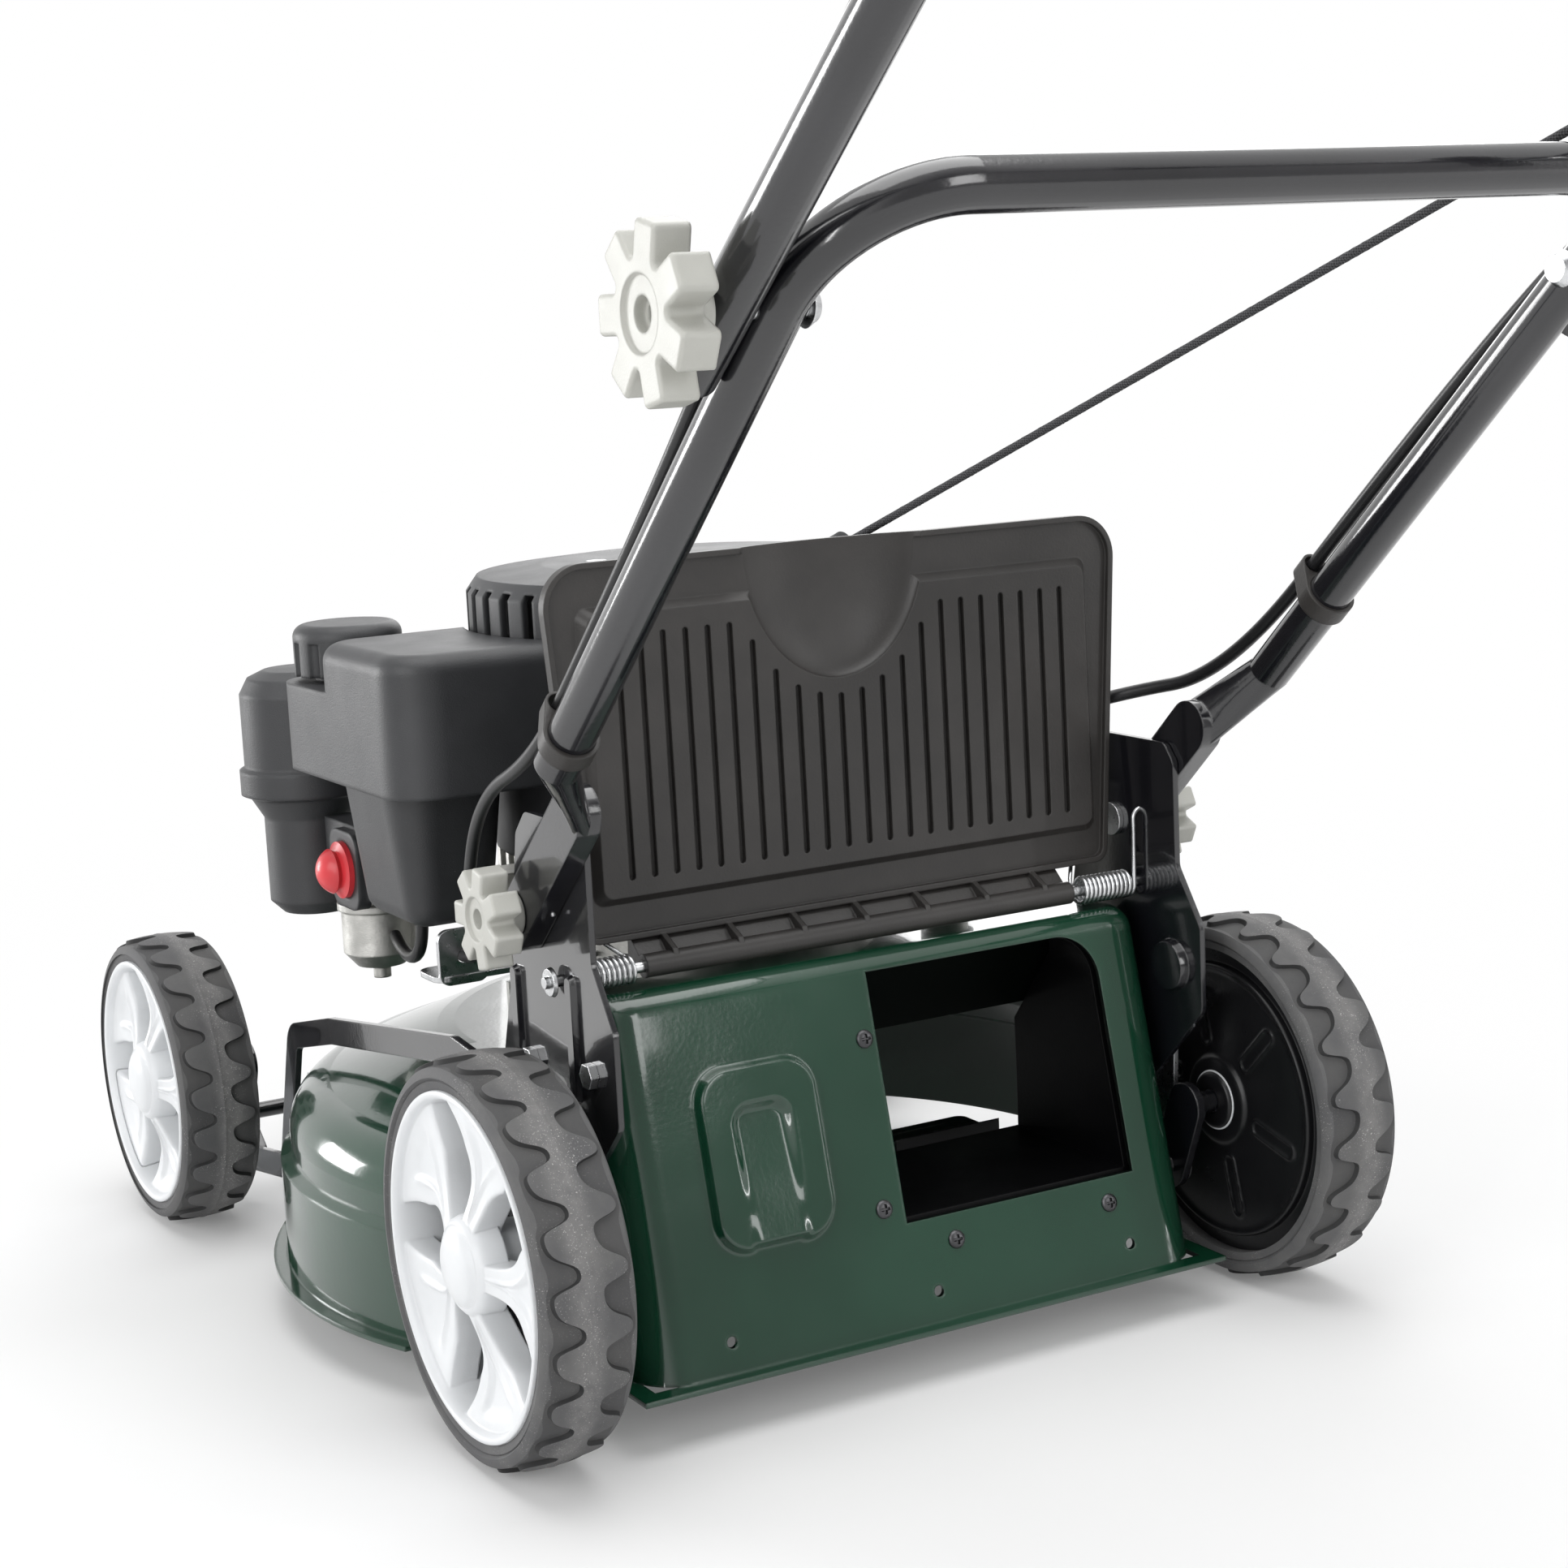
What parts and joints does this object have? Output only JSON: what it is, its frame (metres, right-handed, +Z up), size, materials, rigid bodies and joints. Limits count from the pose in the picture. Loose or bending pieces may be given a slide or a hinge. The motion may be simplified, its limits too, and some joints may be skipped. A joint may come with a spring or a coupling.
{
  "type": "push lawn mower",
  "caption": "Walk-behind rear-discharge lawn mower with a pressed deck, small engine, cranked wheel axles, a hinged rear flap and a folding two-loop handle.",
  "frame": {"origin": "on the ground under the middle of the part's overall footprint", "axes": "+Y forward along the mower, from the handle to the front wheels; +X to the operator's right; +Z up"},
  "size_m": [0.526, 1.3774, 0.9909],
  "materials": {
    "deck_green": "gloss",
    "black_steel": "gloss",
    "zinc": "zinc plated",
    "flap_plastic": "satin",
    "engine_plastic": "grained",
    "cast_aluminium": "cast",
    "muffler_steel": "heat resistant",
    "tyre_rubber": "matt",
    "rim_grey": "silver grey",
    "cover_black": "satin",
    "knob_grey": "satin",
    "foam": "closed-cell foam",
    "cable_sheath": "smooth sheath",
    "rope": "braided",
    "primer_red": "translucent red",
    "plug": "boot"
  },
  "bodies": {
    "chassis": {"deck_shell": "deck_green", "discharge_chute": "flap_plastic", "left_handle_bracket": "black_steel", "right_handle_bracket": "black_steel", "flap_hinge_rod": "zinc", "left_flap_spring": "zinc", "right_flap_spring": "zinc", "front_axle_carriers": "black_steel", "engine_block": "cast_aluminium", "spark_plug": "plug", "blower_housing": "engine_plastic", "recoil_cover": "engine_plastic", "fuel_tank": "engine_plastic", "air_filter": "engine_plastic", "primer_base": "engine_plastic", "carburettor": "cast_aluminium", "muffler": "muffler_steel", "brake_bracket": "zinc", "fasteners": "zinc", "brake_cable": "cable_sheath", "throttle_cable": "cable_sheath", "fuel_hose": "cable_sheath", "starter_rope": "rope"},
    "flap": {"rear_flap": "flap_plastic"},
    "rear_crank": {"rear_axle": "black_steel", "height_lever": "zinc"},
    "front_crank": {"front_axle": "black_steel"},
    "link": {"height_link": "black_steel"},
    "front_left_wheel": {"front_left_tyre": "tyre_rubber", "front_left_rim": "rim_grey"},
    "front_right_wheel": {"front_right_tyre": "tyre_rubber", "front_right_rim": "rim_grey"},
    "rear_left_wheel": {"rear_left_tyre": "tyre_rubber", "rear_left_rim": "rim_grey", "rear_left_dust_cover": "cover_black"},
    "rear_right_wheel": {"rear_right_tyre": "tyre_rubber", "rear_right_rim": "rim_grey", "rear_right_dust_cover": "cover_black"},
    "lower_loop": {"lower_handle": "black_steel", "upper_bolts": "zinc", "cable_clips": "flap_plastic"},
    "upper_loop": {"upper_handle": "black_steel", "foam_grip": "foam", "rope_guide": "zinc", "throttle_housing": "flap_plastic"},
    "bail": {"bail_lever": "black_steel"},
    "throttle": {"throttle_lever": "flap_plastic"},
    "starter": {"starter_grip": "flap_plastic"},
    "lower_left_knob": {"lower_left_knob": "knob_grey"},
    "lower_right_knob": {"lower_right_knob": "knob_grey"},
    "upper_left_knob": {"upper_left_knob": "knob_grey"},
    "upper_right_knob": {"upper_right_knob": "knob_grey"},
    "spindle": {"crankshaft": "zinc", "flywheel": "cast_aluminium", "blade_adapter": "black_steel", "blade": "black_steel", "blade_bolt": "zinc"},
    "fuel_cap": {"fuel_cap": "engine_plastic"},
    "oil_cap": {"oil_cap": "engine_plastic"},
    "primer": {"primer_bulb": "primer_red"}
  },
  "joints": [
    {"name": "rear_axle_height", "type": "hinge", "parent": "chassis", "child": "rear_crank", "pos_m": [0, 0.14125, 0.064], "axis": [1, 0, 0], "range_deg": [0, 75]},
    {"name": "front_axle_height", "type": "hinge", "parent": "chassis", "child": "front_crank", "pos_m": [0, 0.61525, 0.0525], "axis": [1, 0, 0], "range_deg": [0, 75]},
    {"name": "link_swing", "type": "hinge", "parent": "rear_crank", "child": "link", "pos_m": [-0.195, 0.11525, 0.044], "axis": [1, 0, 0], "range_deg": [-75, 0]},
    {"name": "front_left_spin", "type": "hinge", "parent": "front_crank", "child": "front_left_wheel", "pos_m": [-0.232, 0.60025, 0.0885], "axis": [1, 0, 0], "continuous": true},
    {"name": "front_right_spin", "type": "hinge", "parent": "front_crank", "child": "front_right_wheel", "pos_m": [0.232, 0.60025, 0.0885], "axis": [1, 0, 0], "continuous": true},
    {"name": "rear_left_spin", "type": "hinge", "parent": "rear_crank", "child": "rear_left_wheel", "pos_m": [-0.224, 0.12625, 0.1], "axis": [1, 0, 0], "continuous": true},
    {"name": "rear_right_spin", "type": "hinge", "parent": "rear_crank", "child": "rear_right_wheel", "pos_m": [0.224, 0.12625, 0.1], "axis": [1, 0, 0], "continuous": true},
    {"name": "flap_hinge", "type": "hinge", "parent": "chassis", "child": "flap", "pos_m": [0, 0.15425, 0.222], "axis": [1, 0, 0], "range_deg": [0, 148], "deforming": ["left_flap_spring", "right_flap_spring"]},
    {"name": "lower_fold", "type": "hinge", "parent": "chassis", "child": "lower_loop", "pos_m": [0, 0.17025, 0.255], "axis": [1, 0, 0], "range_deg": [-68, 0], "deforming": ["brake_cable", "throttle_cable", "starter_rope"]},
    {"name": "upper_fold", "type": "hinge", "parent": "lower_loop", "child": "upper_loop", "pos_m": [0, -0.14435, 0.54], "axis": [1, 0, 0], "range_deg": [-120, 0], "deforming": ["brake_cable", "throttle_cable", "starter_rope"]},
    {"name": "bail_squeeze", "type": "hinge", "parent": "upper_loop", "child": "bail", "pos_m": [0, -0.55131, 0.86371], "axis": [1, 0, 0], "range_deg": [0, 22], "stiffness_Nm_per_rad": 1.5, "springref_deg": -22.92},
    {"name": "throttle_turn", "type": "hinge", "parent": "upper_loop", "child": "throttle", "pos_m": [0.226, -0.4869, 0.84187], "axis": [1, 0, 0], "range_deg": [0, 35]},
    {"name": "starter_pull", "type": "slide", "parent": "upper_loop", "child": "starter", "axis": [0, -0.9397, 0.342], "range_m": [0, 0.6], "stiffness_N_per_m": 20, "springref_m": -0.3, "deforming": ["starter_rope"]},
    {"name": "lower_left_knob_turn", "type": "hinge", "parent": "chassis", "child": "lower_left_knob", "pos_m": [-0.198, 0.17025, 0.255], "axis": [1, 0, 0], "continuous": true},
    {"name": "lower_right_knob_turn", "type": "hinge", "parent": "chassis", "child": "lower_right_knob", "pos_m": [0.198, 0.17025, 0.255], "axis": [1, 0, 0], "continuous": true},
    {"name": "upper_left_knob_turn", "type": "hinge", "parent": "lower_loop", "child": "upper_left_knob", "pos_m": [-0.25, -0.14435, 0.54], "axis": [1, 0, 0], "continuous": true},
    {"name": "upper_right_knob_turn", "type": "hinge", "parent": "lower_loop", "child": "upper_right_knob", "pos_m": [0.25, -0.14435, 0.54], "axis": [1, 0, 0], "continuous": true},
    {"name": "blade_spin", "type": "hinge", "parent": "chassis", "child": "spindle", "pos_m": [0, 0.32325, 0.04], "axis": [0, 0, 1], "continuous": true},
    {"name": "fuel_cap_turn", "type": "hinge", "parent": "chassis", "child": "fuel_cap", "pos_m": [-0.174, 0.40625, 0.36], "axis": [0, 0, 1], "continuous": true},
    {"name": "oil_cap_turn", "type": "hinge", "parent": "chassis", "child": "oil_cap", "pos_m": [0.112, 0.25125, 0.24], "axis": [0, 0, 1], "continuous": true},
    {"name": "primer_press", "type": "slide", "parent": "chassis", "child": "primer", "axis": [1, 0, 0], "range_m": [0, 0.005], "stiffness_N_per_m": 800, "springref_m": -0.001}
  ],
  "couplings": [
    {"joint": "front_axle_height", "follows": "rear_axle_height", "ratio": 1},
    {"joint": "link_swing", "follows": "rear_axle_height", "ratio": -1}
  ]
}
